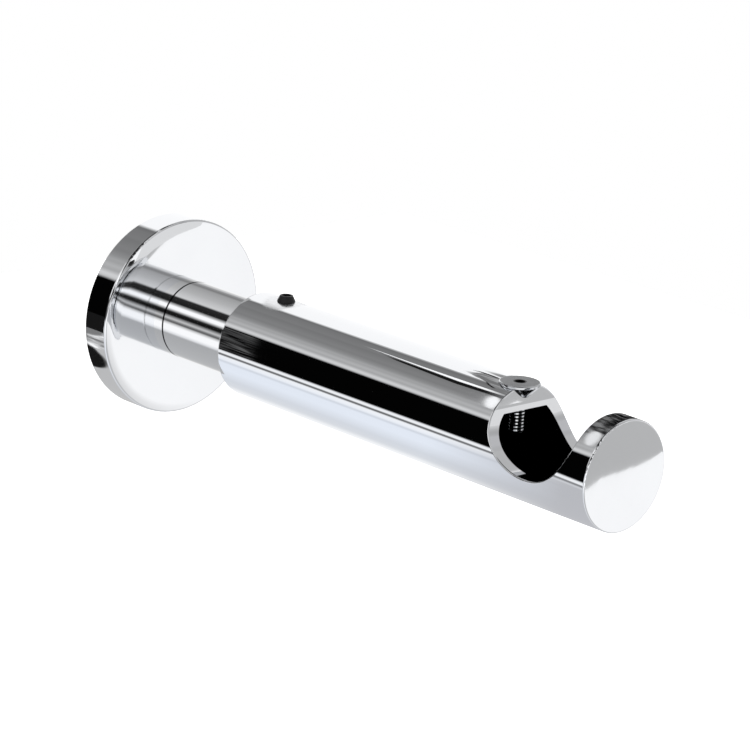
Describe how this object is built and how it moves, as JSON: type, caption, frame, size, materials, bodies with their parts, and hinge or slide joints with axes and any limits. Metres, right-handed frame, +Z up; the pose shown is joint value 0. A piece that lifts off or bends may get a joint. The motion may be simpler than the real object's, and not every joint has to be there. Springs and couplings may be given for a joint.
{
  "type": "curtain pole bracket",
  "caption": "Extendable polished wall bracket: a round rose carries a stem, and a tubular arm slides along it and holds a curtain pole in an open cup with a clamping screw.",
  "frame": {"origin": "centre of the wall face, on the axis of the stem and arm", "axes": "+X out from the wall along the arm, +Z up, the pole along Y"},
  "size_m": [0.1829, 0.057, 0.057],
  "materials": {
    "polished_chrome": "mirror-polished chrome plate",
    "screw_steel": "bright nickel-plated steel",
    "black_steel": "blackened steel",
    "plate_steel": "zinc-plated steel"
  },
  "bodies": {
    "base": {"wall_plate": "plate_steel", "rose": "polished_chrome", "rose_grub_screw": "black_steel", "stem": "polished_chrome", "stem_bolt": "plate_steel"},
    "arm": {"arm": "polished_chrome"},
    "pole_screw": {"pole_screw": "screw_steel"},
    "arm_grub_screw": {"arm_grub_screw": "black_steel"}
  },
  "joints": [
    {"name": "arm_extension", "type": "slide", "parent": "base", "child": "arm", "axis": [1, 0, 0], "range_m": [-0.0315, 0.035]},
    {"name": "pole_screw_travel", "type": "slide", "parent": "arm", "child": "pole_screw", "axis": [0, 0, 1], "range_m": [0, 0.007]},
    {"name": "arm_grub_travel", "type": "slide", "parent": "arm", "child": "arm_grub_screw", "axis": [0, 0, 1], "range_m": [0, 0.003]}
  ]
}
